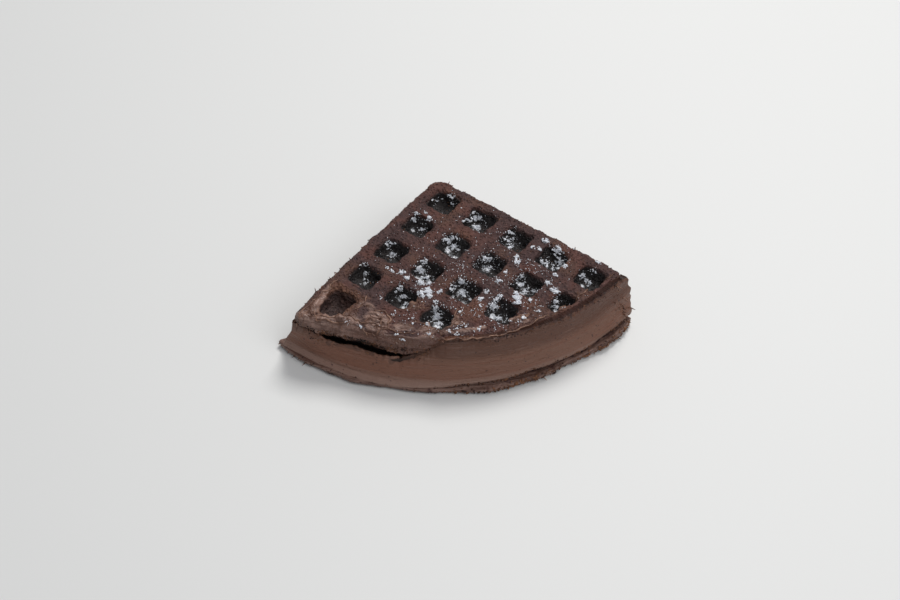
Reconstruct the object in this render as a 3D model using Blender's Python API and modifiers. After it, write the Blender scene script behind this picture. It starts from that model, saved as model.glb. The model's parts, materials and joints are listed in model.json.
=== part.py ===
# A quarter of a filled chocolate waffle, dusted with sugar.
# Two square-pocket waffles lie on each other with chocolate cream between them,
# and the cream is wiped round the curved side. Metres, +Z up.
# Each piece is made with the wedge's point at the origin and its straight sides
# along +X and +Y, and all are then turned so that the point is at the back.

import math
import random

import bmesh
import bpy
from mathutils import Matrix, Vector, noise

# Pockets of the waffle iron
PITCH = 0.0167
SIDE_TO_POCKET = 0.0101
POCKET_WIDTH = 0.0100
POCKET_FLOOR_WIDTH = 0.0076
POCKET_MOUTH_WIDTH = 0.0120
POCKET_ROUNDING = 0.0014
MOUTH_CHAMFER = 0.0012
UPPER_POCKET_DEPTH = 0.0056
LOWER_POCKET_DEPTH = 0.0055
UPPER_ROWS = (5, 5, 4, 3, 1)
LOWER_ROWS = (5, 5, 4, 3, 2)
POCKET_LIMIT = 0.0828

# Outline of a waffle
RADIUS = 0.0850
POINT_ROUNDING = 0.0060
CORNER_ROUNDING = 0.0030
EDGE_ROUNDING = 0.0014
LEFT_BULGE = 0.0019
BULGE_HEIGHT = 0.0175

# Heights at the curved side
GAP = 0.0003
LIP_BOTTOM = 0.0007
LIP_TOP = 0.0027
LOWER_TOP = 0.0095
CREAM_LOW = LOWER_TOP + GAP
CREAM_HIGH = CREAM_LOW + 0.0041
UPPER_LOW = CREAM_HIGH + GAP
UPPER_TOP = 0.0218
TILT = math.radians(1.8)

# Baked edge and ear that stick out below the cream
LIP_RADIUS = 0.0931
LIP_WAVE = 0.0006
LIP_NOTCH = 0.0011
LIP_NOTCH_ANGLE = math.radians(66)
EAR = ((0.0800, 0.0010), (0.0835, -0.0042), (0.0880, -0.0066), (0.0916, -0.0076), (0.0929, -0.0034))

# Cream wiped round the curved side
COAT_INSIDE = RADIUS + 0.0004
COAT_TOP_RADIUS = 0.0872
COAT_FOOT_RADIUS = 0.0915
COAT_FOOT = LIP_TOP + 0.00035
COAT_HIGH = 0.0213
COAT_LOW = CREAM_HIGH + 0.0004
COAT_STEP = (0.36, 0.48)
COAT_STEPS = 44
COAT_SWEEP = 0.0046
COAT_SWEEP_ANGLE = math.radians(7)
CREVICE_WIDTH = 0.0009
LAYER_INSET = 0.0005
LAYER_WAVE = 0.0006
LAYER_REACH = 0.0011

# Baked surface
VOXEL = 0.0009
RELIEF = 0.00032
GRAIN = 260.0
WAFFLE_TRIANGLES = {"waffle_top": 6300, "waffle_bottom": 3700}
SETTLE = 0.00025

# Larger lumps of icing sugar: place in pockets along the right and the left side,
# counted from the point, and width in millimetres
SUGAR_LUMPS = (
    (0.80, -0.20, 3.4), (0.96, -0.02, 3.0), (1.80, -0.10, 2.8), (3.08, -0.12, 3.6),
    (3.82, -0.16, 3.8), (4.02, -0.06, 4.0), (-0.20, 0.82, 2.4), (0.80, 0.84, 3.6),
    (1.02, 0.94, 3.2), (2.86, 0.88, 4.4), (3.76, 0.90, 4.2), (1.78, 1.78, 3.6),
    (2.76, 1.86, 4.0), (1.92, 2.86, 4.6), (0.94, 2.84, 3.2), (-0.16, 2.82, 2.6),
    (2.60, -0.40, 3.6), (2.46, 0.52, 4.2), (3.08, 1.50, 4.8), (3.50, 1.86, 3.0),
    (1.42, 2.48, 3.4), (0.72, 2.48, 3.0),
)
SUGAR_FLATNESS = 0.42
SUGAR_SINK = 0.42
FINE_LUMP = 3.7

# The left-hand corner is drawn in a little, and its rim leans outwards
PINCH_ALONG = 0.0013
PINCH_ACROSS = 0.0009
PINCH_FROM = 0.045
PINCH_REACH = 0.045
FLARE_FROM = math.radians(1)
FLARE_TO = math.radians(16)
FLARE_BAND = 0.0070
FLARE_LOW = 0.0028
FLARE_HIGH = 0.0022

BROWN = (0.088, 0.052, 0.047, 1.0)
DARK_BROWN = (0.080, 0.046, 0.040, 1.0)
CREAM_BROWN = (0.105, 0.060, 0.046, 1.0)


def smooth_step(value, low, high):
    share = min(max((value - low) / (high - low), 0.0), 1.0)
    return share * share * (3.0 - 2.0 * share)


def new_collection(name):
    collection = bpy.data.collections.new(name)
    bpy.context.scene.collection.children.link(collection)
    return collection


def new_object(name, mesh, collection):
    item = bpy.data.objects.new(name, mesh)
    collection.objects.link(item)
    return item


def finish(name, colour, roughness):
    material = bpy.data.materials.new(name)
    material.use_nodes = True
    shader = material.node_tree.nodes["Principled BSDF"]
    shader.inputs["Base Color"].default_value = colour
    shader.inputs["Roughness"].default_value = roughness
    shader.inputs["Metallic"].default_value = 0.0
    material.diffuse_color = colour
    return material


def settle(item):
    # the shape that the modifiers give becomes the object's own mesh
    depsgraph = bpy.context.evaluated_depsgraph_get()
    mesh = bpy.data.meshes.new_from_object(item.evaluated_get(depsgraph))
    item.modifiers.clear()
    item.data = mesh


def clear(collection):
    for item in list(collection.objects):
        bpy.data.objects.remove(item)


def bend(start, control, end, steps):
    # a corner rounded from start to end
    points = []
    for step in range(1, steps):
        share = step / steps
        points.append(
            (
                (1 - share) ** 2 * start[0] + 2 * share * (1 - share) * control[0] + share ** 2 * end[0],
                (1 - share) ** 2 * start[1] + 2 * share * (1 - share) * control[1] + share ** 2 * end[1],
            )
        )
    return points


def wedge_outline(radius, inset=0.0, wave=0.0, arc_steps=44, side_steps=18):
    # counter-clockwise from the straight side along +X, over the arc, back along +Y
    first = math.asin((inset + CORNER_ROUNDING) / radius)
    straight = radius - CORNER_ROUNDING

    def side(share):
        wobble = wave * math.sin(share * 23.0) * math.sin(share * 9.0)
        return POINT_ROUNDING + share * (straight - POINT_ROUNDING), inset - wobble

    def arc(angle):
        return radius * math.cos(angle), radius * math.sin(angle)

    points = [side(step / side_steps) for step in range(side_steps + 1)]
    points += bend(points[-1], (radius, inset), arc(first), 4)
    for step in range(arc_steps + 1):
        points.append(arc(first + (math.pi / 2 - 2 * first) * step / arc_steps))
    far_side = [(y, x) for x, y in (side(1 - step / side_steps) for step in range(side_steps + 1))]
    points += bend(points[-1], (inset, radius), far_side[0], 4)
    points += far_side
    points += bend(far_side[-1], (inset, inset), points[0], 6)
    return points


def lip_radius(angle):
    waves = math.sin(angle * 9.0) + 0.6 * math.sin(angle * 23.0 + 1.0)
    notch = math.exp(-(((angle - LIP_NOTCH_ANGLE) / 0.05) ** 2))
    return LIP_RADIUS + LIP_WAVE * waves - LIP_NOTCH * notch


def lip_outline(inner=0.004, arc_steps=60):
    points = [(inner, inner)]
    points += list(EAR)
    for step in range(arc_steps + 1):
        angle = math.radians(1.5) + (math.pi / 2 - math.radians(1.5)) * step / arc_steps
        points.append((lip_radius(angle) * math.cos(angle), lip_radius(angle) * math.sin(angle)))
    points.append((inner * 0.4, RADIUS - CORNER_ROUNDING))
    return points


def plate(name, outline, low, high, collection):
    # a flat outline with a thickness, as a closed mesh
    curve = bpy.data.curves.new(name, "CURVE")
    curve.dimensions = "2D"
    curve.fill_mode = "BOTH"
    curve.extrude = (high - low) / 2
    spline = curve.splines.new("POLY")
    spline.points.add(len(outline) - 1)
    spline.use_cyclic_u = True
    for point, (x, y) in zip(spline.points, outline):
        point.co = (x, y, 0.0, 1.0)
    flat = new_object(name + "_outline", curve, collection)
    bpy.context.view_layer.update()
    depsgraph = bpy.context.evaluated_depsgraph_get()
    mesh = bpy.data.meshes.new_from_object(flat.evaluated_get(depsgraph))
    bpy.data.objects.remove(flat)
    shape = bmesh.new()
    shape.from_mesh(mesh)
    bmesh.ops.remove_doubles(shape, verts=shape.verts, dist=1e-6)
    bmesh.ops.translate(shape, verts=shape.verts, vec=(0.0, 0.0, (low + high) / 2))
    bmesh.ops.recalc_face_normals(shape, faces=shape.faces)
    shape.to_mesh(mesh)
    shape.free()
    return new_object(name, mesh, collection)


def pocket_mesh(depth):
    # the square stud that presses one pocket, its mouth at z = 0 and its floor below
    shape = bmesh.new()
    half_diagonal = math.sqrt(0.5)
    wall = depth - MOUTH_CHAMFER
    bmesh.ops.create_cone(
        shape,
        cap_ends=True,
        segments=4,
        radius1=POCKET_FLOOR_WIDTH * half_diagonal,
        radius2=POCKET_WIDTH * half_diagonal,
        depth=wall,
        matrix=Matrix.Rotation(math.pi / 4, 4, "Z") @ Matrix.Translation((0.0, 0.0, -MOUTH_CHAMFER - wall / 2)),
    )
    for rise, width in ((MOUTH_CHAMFER, POCKET_MOUTH_WIDTH), (0.0012, POCKET_MOUTH_WIDTH * 1.06)):
        top = max(shape.faces, key=lambda face: face.calc_center_median().z)
        before = max(abs(vert.co.x) for vert in top.verts)
        grown = bmesh.ops.extrude_discrete_faces(shape, faces=[top])["faces"][0]
        scale = width / 2 / before
        for vert in grown.verts:
            vert.co = Vector((vert.co.x * scale, vert.co.y * scale, vert.co.z + rise))
    floor = min(vert.co.z for vert in shape.verts)
    sides = []
    for edge in shape.edges:
        a, b = edge.verts
        if abs(a.co.z - b.co.z) > 1e-6 or max(a.co.z, b.co.z) < floor + 1e-6:
            sides.append(edge)
    bmesh.ops.bevel(shape, geom=sides, offset=POCKET_ROUNDING, segments=2, profile=0.5, affect="EDGES", material=-1)
    bmesh.ops.recalc_face_normals(shape, faces=shape.faces)
    mesh = bpy.data.meshes.new("pocket")
    shape.to_mesh(mesh)
    shape.free()
    return mesh


def pocket_place(i, j):
    # i counts along the right-hand side (+Y), j along the left-hand side (+X)
    return SIDE_TO_POCKET + j * PITCH, SIDE_TO_POCKET + i * PITCH


def press_pockets(rows, depth, surface, downwards, collection):
    # studs at every pocket; those at the rim stop short of the curved wall
    mesh = pocket_mesh(depth)
    bpy.ops.mesh.primitive_cylinder_add(vertices=128, radius=POCKET_LIMIT, depth=0.05)
    wall = bpy.context.object
    wall.name = "rim_limit"
    for j, count in enumerate(rows):
        for i in range(count):
            x, y = pocket_place(i, j)
            stud = new_object("stud_%d_%d" % (i, j), mesh.copy(), collection)
            turn = Matrix.Identity(4) if downwards else Matrix.Rotation(math.pi, 4, "X")
            stud.data.transform(Matrix.Translation((x, y, surface)) @ turn)
            reach = POCKET_MOUTH_WIDTH / 2
            if math.hypot(x + reach, y + reach) > POCKET_LIMIT:
                limit = stud.modifiers.new("stop_at_the_rim", "BOOLEAN")
                limit.operation = "INTERSECT"
                limit.object = wall
                bpy.context.view_layer.update()
                settle(stud)
    bpy.data.objects.remove(wall)


def union_of(item, other):
    joined = item.modifiers.new("join", "BOOLEAN")
    joined.operation = "UNION"
    joined.object = other
    bpy.context.view_layer.update()
    settle(item)
    bpy.data.objects.remove(other)


def roughen(item, calm):
    # the uneven baked surface: each point moves a little along its normal
    mesh = item.data
    moved = []
    for vertex in mesh.vertices:
        place = vertex.co * GRAIN
        coarse = noise.noise(place)
        fine = noise.noise(place * 3.1 + Vector((7.0, 3.0, 1.0)))
        moved.append(vertex.co + vertex.normal * RELIEF * (coarse + 0.5 * fine) * calm(vertex.co))
    for vertex, place in zip(mesh.vertices, moved):
        vertex.co = place
    mesh.update()


def thin_out(item, triangles):
    simpler = item.modifiers.new("fewer_faces", "DECIMATE")
    item.data.calc_loop_triangles()
    simpler.ratio = triangles / len(item.data.loop_triangles)
    simpler.use_collapse_triangulate = True
    bpy.context.view_layer.update()
    settle(item)


def bake(item, calm, seat, triangles):
    # soft edges, baked relief, few faces, then flat and true where it meets its neighbours
    soft = item.modifiers.new("soft_edges", "REMESH")
    soft.mode = "VOXEL"
    soft.voxel_size = VOXEL
    even = item.modifiers.new("even_out", "SMOOTH")
    even.factor = 0.5
    even.iterations = 2
    bpy.context.view_layer.update()
    settle(item)
    roughen(item, calm)
    thin_out(item, triangles)
    for vertex in item.data.vertices:
        vertex.co = seat(vertex.co)


def coat_height(angle):
    # the cream reaches the crevice on the left and the top edge on the right
    share = angle / (math.pi / 2)
    return COAT_LOW + (COAT_HIGH - COAT_LOW) * smooth_step(share, *COAT_STEP)


def coat_radius(height):
    drop = min(max((COAT_HIGH - height) / (COAT_HIGH - COAT_FOOT), 0.0), 1.0)
    return COAT_TOP_RADIUS + (COAT_FOOT_RADIUS - COAT_TOP_RADIUS) * drop ** 1.6


def calm_upper(place):
    return smooth_step(place.z, UPPER_LOW + 0.0004, UPPER_LOW + 0.0016)


def seat_upper(place):
    # flat against the cream below, and inside the cream wiped round the side
    place = place.copy()
    angle = math.atan2(place.y, place.x)
    radius = math.hypot(place.x, place.y)
    free = 1.0 - smooth_step(angle / (math.pi / 2), COAT_STEP[0] - 0.06, COAT_STEP[0])
    height = place.z
    if radius > RADIUS - 0.003 and free > 0.0:
        bulge = LEFT_BULGE * free * math.exp(-(((height - BULGE_HEIGHT) / 0.0024) ** 2))
        place.x += bulge * math.cos(angle)
        place.y += bulge * math.sin(angle)
        radius += bulge
    limit = RADIUS
    if height > coat_height(angle) + 0.0004:
        limit = RADIUS + LEFT_BULGE * smooth_step(height, coat_height(angle) + 0.0004, BULGE_HEIGHT)
    if radius > limit:
        place.x *= limit / radius
        place.y *= limit / radius
    if height < UPPER_LOW + SETTLE:
        place.z = UPPER_LOW
    return place


def calm_lower(place):
    off_table = smooth_step(place.z, 0.0003, 0.0012)
    off_cream = smooth_step(LOWER_TOP - place.z, 0.0003, 0.0012)
    return off_table * off_cream


def seat_lower(place):
    # flat underneath and on top, inside the cream, its lip just under the cream's foot
    place = place.copy()
    radius = math.hypot(place.x, place.y)
    beyond = radius - RADIUS
    above = place.z - LIP_TOP
    if beyond > 0.0 and above > 0.0:
        if beyond < above:
            place.x *= RADIUS / radius
            place.y *= RADIUS / radius
        else:
            place.z = LIP_TOP
    if place.z < SETTLE:
        place.z = 0.0
    if place.z > LOWER_TOP - SETTLE:
        place.z = LOWER_TOP
    return place


def soften_edges(item):
    rounding = item.modifiers.new("round_edges", "BEVEL")
    rounding.width = EDGE_ROUNDING
    rounding.segments = 2
    rounding.limit_method = "ANGLE"
    rounding.angle_limit = math.radians(50)
    bpy.context.view_layer.update()
    settle(item)


def press_waffle(item, rows, depth, surface, downwards, tools):
    press_pockets(rows, depth, surface, downwards, tools)
    pressed = item.modifiers.new("pockets", "BOOLEAN")
    pressed.operation = "DIFFERENCE"
    pressed.operand_type = "COLLECTION"
    pressed.collection = tools
    bpy.context.view_layer.update()
    settle(item)
    clear(tools)


def waffle_bottom(parts, tools):
    item = plate("waffle_bottom", wedge_outline(RADIUS), 0.0, LOWER_TOP, parts)
    soften_edges(item)
    union_of(item, plate("lip", lip_outline(), LIP_BOTTOM, LIP_TOP, tools))
    press_waffle(item, LOWER_ROWS, LOWER_POCKET_DEPTH, 0.0, False, tools)
    bake(item, calm_lower, seat_lower, WAFFLE_TRIANGLES[item.name])
    item.data.materials.append(finish("dark_waffle", DARK_BROWN, 0.8))
    return item


def sugar_lump(number, i, j, width, tools):
    # a low uneven lump, resting on a pocket's floor or on a rib
    shape = bmesh.new()
    bmesh.ops.create_icosphere(shape, subdivisions=2 if width > FINE_LUMP else 1, radius=0.5)
    draw = random.Random(100 + number)
    for vert in shape.verts:
        vert.co *= 1.0 + 0.28 * draw.uniform(-1.0, 1.0)
    across = width * 0.001
    x, y = pocket_place(i, j)
    edge = POCKET_WIDTH / 2 / PITCH
    in_pocket = abs(i - round(i)) < edge and abs(j - round(j)) < edge
    ground = UPPER_TOP - (UPPER_POCKET_DEPTH if in_pocket else 0.0)
    height = across * SUGAR_FLATNESS
    place = Matrix.Translation((x, y, ground + height * (0.5 - SUGAR_SINK)))
    turn = Matrix.Rotation(draw.uniform(0.0, math.pi), 4, "Z")
    size = Matrix.Diagonal((across, across * draw.uniform(0.6, 0.9), height, 1.0))
    bmesh.ops.transform(shape, verts=shape.verts, matrix=place @ turn @ size)
    mesh = bpy.data.meshes.new("sugar")
    shape.to_mesh(mesh)
    shape.free()
    return new_object("sugar_lump_%d" % number, mesh, tools)


def waffle_top(parts, tools):
    item = plate("waffle_top", wedge_outline(RADIUS), UPPER_LOW, UPPER_TOP, parts)
    soften_edges(item)
    press_waffle(item, UPPER_ROWS, UPPER_POCKET_DEPTH, UPPER_TOP, True, tools)
    bake(item, calm_upper, seat_upper, WAFFLE_TRIANGLES[item.name])
    for number, (i, j, width) in enumerate(SUGAR_LUMPS):
        sugar_lump(number, i, j, width, tools)
    dusted = item.modifiers.new("sugar", "BOOLEAN")
    dusted.operation = "UNION"
    dusted.operand_type = "COLLECTION"
    dusted.collection = tools
    bpy.context.view_layer.update()
    settle(item)
    clear(tools)
    item.data.materials.clear()
    item.data.materials.append(finish("baked_waffle", BROWN, 0.8))
    return item


def coat_profile():
    # section of the wiped cream at full height, in radius and height
    outside = [
        (coat_radius(height), height)
        for height in (COAT_FOOT + (COAT_HIGH - COAT_FOOT) * step / 8 for step in range(9))
    ]
    outside[-1] = (COAT_TOP_RADIUS - 0.0005, COAT_HIGH)
    outside.insert(-1, (COAT_TOP_RADIUS, COAT_HIGH - 0.0006))
    inside = [(COAT_INSIDE, COAT_HIGH), (COAT_INSIDE, COAT_FOOT + 0.0009), (COAT_INSIDE + 0.0009, COAT_FOOT)]
    return outside + inside


def coat(tools):
    shape = bmesh.new()
    ring = [shape.verts.new((radius, 0.0, height)) for radius, height in coat_profile()]
    section = shape.faces.new(ring)
    geometry = [section] + list(section.edges) + list(section.verts)
    bmesh.ops.spin(
        shape, geom=geometry, cent=(0.0, 0.0, 0.0), axis=(0.0, 0.0, 1.0), dvec=(0.0, 0.0, 0.0),
        angle=math.pi / 2, steps=COAT_STEPS, use_duplicate=False,
    )
    bmesh.ops.remove_doubles(shape, verts=shape.verts, dist=1e-6)
    bmesh.ops.recalc_face_normals(shape, faces=shape.faces)
    for vert in shape.verts:
        angle = math.atan2(vert.co.y, vert.co.x)
        radius = math.hypot(vert.co.x, vert.co.y)
        height = vert.co.z
        low_top = 1.0 - smooth_step(angle / (math.pi / 2), *COAT_STEP)
        height = COAT_FOOT + (height - COAT_FOOT) * (coat_height(angle) - COAT_FOOT) / (COAT_HIGH - COAT_FOOT)
        if radius > COAT_INSIDE + 0.0010:
            rounding = 0.0005 if vert.co.z > COAT_HIGH - 1e-6 else 0.0
            wave = 0.00025 * math.sin(angle * 11.0 + height * 300.0)
            radius = coat_radius(height) - rounding + wave
        elif vert.co.z > COAT_HIGH - 1e-6:
            radius += CREVICE_WIDTH * low_top
        sweep = (1.0 - smooth_step(angle, 0.0, COAT_SWEEP_ANGLE)) * smooth_step(COAT_LOW - height, 0.0, COAT_LOW - COAT_FOOT)
        vert.co = (radius * math.cos(angle), radius * math.sin(angle) - COAT_SWEEP * sweep, height)
    mesh = bpy.data.meshes.new("coat")
    shape.to_mesh(mesh)
    shape.free()
    return new_object("coat", mesh, tools)


def chocolate_cream(parts, tools):
    outline = wedge_outline(RADIUS + LAYER_REACH, LAYER_INSET, LAYER_WAVE, arc_steps=36, side_steps=30)
    item = plate("chocolate_cream", outline, CREAM_LOW, CREAM_HIGH, parts)
    union_of(item, coat(tools))
    item.data.materials.clear()
    item.data.materials.append(finish("chocolate_cream", CREAM_BROWN, 0.4))
    return item


def corner_flare(place):
    # the left-hand corner leans outwards, most of all where the upper waffle meets the cream
    angle = math.atan2(place.y, place.x)
    near = 1.0 - smooth_step(angle, FLARE_FROM, FLARE_TO)
    rim = smooth_step(math.hypot(place.x, place.y), RADIUS - FLARE_BAND, RADIUS)
    height = min(place.z, UPPER_TOP)
    rise = smooth_step(height, LIP_TOP, UPPER_LOW)
    lean = FLARE_LOW - (FLARE_LOW - FLARE_HIGH) * smooth_step(height, UPPER_LOW, UPPER_TOP)
    return near * rim * rise * lean


def settle_shape(item):
    # the wedge is thicker towards its point: heights above the lip grow in one slope,
    # and the left-hand corner is drawn towards the middle
    for vertex in item.data.vertices:
        along = (vertex.co.x + vertex.co.y) * math.sqrt(0.5)
        share = min(max((vertex.co.z - LIP_TOP) / (UPPER_LOW - LIP_TOP), 0.0), 1.0)
        vertex.co.z += (RADIUS - along) * math.tan(TILT) * share
        pinch = smooth_step(vertex.co.x, PINCH_FROM, RADIUS) * (1.0 - smooth_step(vertex.co.y, 0.0, PINCH_REACH))
        flare = corner_flare(vertex.co)
        outwards = math.atan2(vertex.co.y, vertex.co.x)
        vertex.co.x += flare * math.cos(outwards) - PINCH_ALONG * pinch
        vertex.co.y += flare * math.sin(outwards) + PINCH_ACROSS * pinch


def place_on_table(items):
    # turned to its view, with the middle of its box over the origin
    stand = bpy.data.objects.new("wedge", None)
    bpy.context.scene.collection.objects.link(stand)
    stand.rotation_euler.z = math.radians(-135)
    bpy.context.view_layer.update()
    corners = [stand.matrix_world @ vertex.co for item in items for vertex in item.data.vertices]
    middle_x = (min(c.x for c in corners) + max(c.x for c in corners)) / 2
    middle_y = (min(c.y for c in corners) + max(c.y for c in corners)) / 2
    stand.location = (-middle_x, -middle_y, 0.0)
    for item in items:
        item.parent = stand


def main():
    for item in list(bpy.data.objects):
        bpy.data.objects.remove(item)
    parts = new_collection("filled_waffle_quarter")
    tools = new_collection("tools")
    items = [waffle_bottom(parts, tools), chocolate_cream(parts, tools), waffle_top(parts, tools)]
    bpy.data.collections.remove(tools)
    for item in items:
        settle_shape(item)
        item.data.shade_smooth()
        item.data.set_sharp_from_angle(angle=math.radians(50))
        print(item.name, len(item.data.vertices), "points")
    place_on_table(items)


main()
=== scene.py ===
import json
import random
from math import atan2, cos, degrees as toDegrees, exp, hypot, pi, radians, sin, sqrt, tan

import bmesh
import bpy
from mathutils import Matrix, Vector, noise
from mathutils.bvhtree import BVHTree

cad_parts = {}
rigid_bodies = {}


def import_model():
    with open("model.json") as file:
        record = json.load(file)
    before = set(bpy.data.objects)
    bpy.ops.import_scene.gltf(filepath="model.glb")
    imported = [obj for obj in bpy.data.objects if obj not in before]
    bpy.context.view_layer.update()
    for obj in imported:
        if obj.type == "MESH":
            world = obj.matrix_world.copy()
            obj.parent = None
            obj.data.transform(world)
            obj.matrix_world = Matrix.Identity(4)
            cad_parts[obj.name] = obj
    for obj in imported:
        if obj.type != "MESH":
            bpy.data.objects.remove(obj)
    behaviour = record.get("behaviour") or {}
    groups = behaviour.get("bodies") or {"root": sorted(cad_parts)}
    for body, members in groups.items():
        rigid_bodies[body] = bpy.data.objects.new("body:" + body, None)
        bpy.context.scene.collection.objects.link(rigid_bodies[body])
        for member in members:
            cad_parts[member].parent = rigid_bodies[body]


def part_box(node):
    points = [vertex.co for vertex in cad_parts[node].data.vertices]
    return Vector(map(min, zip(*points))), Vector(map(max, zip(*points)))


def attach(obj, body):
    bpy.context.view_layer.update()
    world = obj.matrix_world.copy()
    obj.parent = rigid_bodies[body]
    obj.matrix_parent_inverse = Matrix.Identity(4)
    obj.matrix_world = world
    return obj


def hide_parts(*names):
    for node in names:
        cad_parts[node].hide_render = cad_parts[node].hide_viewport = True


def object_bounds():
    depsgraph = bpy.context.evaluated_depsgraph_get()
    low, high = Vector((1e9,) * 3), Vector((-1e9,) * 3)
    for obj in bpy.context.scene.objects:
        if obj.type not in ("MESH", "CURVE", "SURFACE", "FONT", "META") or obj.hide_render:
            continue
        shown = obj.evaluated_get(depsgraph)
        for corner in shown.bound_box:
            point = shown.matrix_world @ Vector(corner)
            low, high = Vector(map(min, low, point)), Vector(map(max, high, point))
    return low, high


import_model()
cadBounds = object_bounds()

# the wedge as the solids have it, in its own flat frame: point at the origin, straight
# sides along +X (left in the picture) and +Y (right in the picture)
wedge = {
    "pitch": 0.0167, "firstPocket": 0.0101, "radius": 0.0850,
    "lipTop": 0.0027, "lowerTop": 0.0095, "creamLow": 0.0098, "creamHigh": 0.0139,
    "upperLow": 0.0142, "upperTop": 0.0218,
    "tilt": radians(1.8),
    "pinchAlong": 0.0013, "pinchAcross": 0.0009, "pinchFrom": 0.045, "pinchReach": 0.045,
    "flareFrom": radians(1), "flareTo": radians(16), "flareBand": 0.0070,
    "flareLow": 0.0040, "flareHigh": 0.0058,
    "pointSetback": 0.00203, "rightReach": 0.06543, "arc": 0.088,
}
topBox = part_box("waffle_top")
pointPlace = Vector((cadBounds[1].x - wedge["rightReach"], topBox[1].y + wedge["pointSetback"], 0))
toWorld = Matrix.Translation(pointPlace) @ Matrix.Rotation(radians(-135), 4, "Z")


def ease(value, low, high):
    share = min(max((value - low) / (high - low), 0), 1)
    return share * share * (3 - 2 * share)


def fade(value, low, high):
    return 1 - ease(value, low, high)


def bump(value, middle, width):
    return exp(-(((value - middle) / width) ** 2))


def fromTable(pairs, value):
    # smooth steps between the pairs
    for (first, low), (second, high) in zip(pairs, pairs[1:]):
        if value <= second:
            return low + (high - low) * ease(value, first, second)
    return pairs[-1][1]


def lattice(i, j):
    return wedge["firstPocket"] + j * wedge["pitch"], wedge["firstPocket"] + i * wedge["pitch"]


def cornerFlare(p):
    # the left corner leans outwards
    near = fade(atan2(p.y, p.x), wedge["flareFrom"], wedge["flareTo"])
    rim = ease(hypot(p.x, p.y), wedge["radius"] - wedge["flareBand"], wedge["radius"])
    height = min(p.z, wedge["upperTop"])
    rise = ease(height, wedge["lipTop"], wedge["upperLow"])
    lean = ease(height, wedge["upperLow"], wedge["upperTop"])
    return near * rim * rise * (wedge["flareLow"] - (wedge["flareLow"] - wedge["flareHigh"]) * lean)


def settled(p):
    # thicker towards the point, the left corner drawn in, then turned to its place
    rise = (wedge["radius"] - (p.x + p.y) * sqrt(0.5)) * tan(wedge["tilt"])
    share = min(max((p.z - wedge["lipTop"]) / (wedge["upperLow"] - wedge["lipTop"]), 0), 1)
    pinch = ease(p.x, wedge["pinchFrom"], wedge["radius"]) * fade(p.y, 0, wedge["pinchReach"])
    flare = cornerFlare(p)
    outwards = atan2(p.y, p.x)
    x = p.x + flare * cos(outwards) - wedge["pinchAlong"] * pinch
    y = p.y + flare * sin(outwards) + wedge["pinchAcross"] * pinch
    flat = Vector((x, y, p.z + rise * share))
    return toWorld @ flat


def ripple(x, y, z):
    return noise.noise(Vector((x, y, z)))


def wobble(p, scale, seed=0):
    return ripple(p.x * scale + seed, p.y * scale - seed, p.z * scale + 2 * seed)


# cameras and lights
view = {
    "focalPixels": 1700, "pictureWidth": 900, "sensor": 36,
    "elevation": 45.14, "azimuth": -10.98, "roll": 2.35, "distance": 0.65141,
    "aim": Vector((-0.00168, -0.04430, 0)),
}


def makeCamera():
    lift = radians(view["elevation"])
    turn = radians(view["azimuth"])
    roll = radians(view["roll"])
    back = Vector((sin(turn) * cos(lift), -cos(turn) * cos(lift), sin(lift)))
    right = Vector((cos(turn), sin(turn), 0))
    up = back.cross(right)
    rolledRight = right * cos(roll) + up * sin(roll)
    rolledUp = up * cos(roll) - right * sin(roll)
    lens = bpy.data.cameras.new("camera")
    lens.sensor_width = view["sensor"]
    lens.lens = view["focalPixels"] / view["pictureWidth"] * view["sensor"]
    camera = newObject("camera", lens)
    turned = Matrix((rolledRight, rolledUp, back)).transposed().to_4x4()
    turned.translation = pointPlace + view["aim"] + back * view["distance"]
    camera.matrix_world = turned
    bpy.context.scene.camera = camera


lamps = (
    {"name": "window", "place": (0.32, 0.50, 0.95), "size": 0.42, "power": 8.4, "colour": (1, 0.985, 0.96)},
    {"name": "room", "place": (0.40, -0.65, 1.00), "size": 0.9, "power": 6.4, "colour": (1, 1, 1)},
)


room = {"colour": (0.93, 0.95, 1, 1), "strength": 0.27, "floor": 2.5}


def makeLights():
    for lamp in lamps:
        light = bpy.data.lights.new(lamp["name"], "AREA")
        light.size = lamp["size"]
        light.energy = lamp["power"]
        light.color = lamp["colour"]
        item = newObject(lamp["name"], light)
        item.location = lamp["place"]
        item.rotation_euler = (-Vector(lamp["place"])).to_track_quat("-Z", "Y").to_euler()
    world = bpy.data.worlds.new("room")
    bpy.context.scene.world = world
    world.use_nodes = True
    background = world.node_tree.nodes["Background"]
    feed(world.node_tree, background, {"Color": room["colour"], "Strength": room["strength"]})
    bpy.context.scene.view_settings.view_transform = "Standard"


def makeFloor():
    bm = bmesh.new()
    bmesh.ops.create_grid(bm, x_segments=1, y_segments=1, size=room["floor"])
    floor = newObject("floor", meshFrom(bm, "floor"))
    floor.data.materials.append(plainMaterial("paleFloor", tones["floor"], 0.6))


# shader nodes

def feed(tree, node, values):
    # numbers and colours are set, sockets are linked
    for name, value in values.items():
        if isinstance(value, (int, float, tuple)):
            node.inputs[name].default_value = value
        else:
            tree.links.new(value, node.inputs[name])


def addNode(tree, kind, inputs=None, **settings):
    node = tree.nodes.new(kind)
    for name, value in settings.items():
        setattr(node, name, value)
    feed(tree, node, inputs or {})
    return node


def mathNode(tree, operation, first, second):
    return addNode(tree, "ShaderNodeMath", {0: first, 1: second}, operation=operation).outputs[0]


def plus(tree, first, second):
    return mathNode(tree, "ADD", first, second)


def minus(tree, first, second):
    return mathNode(tree, "SUBTRACT", first, second)


def times(tree, first, second):
    return mathNode(tree, "MULTIPLY", first, second)


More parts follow.
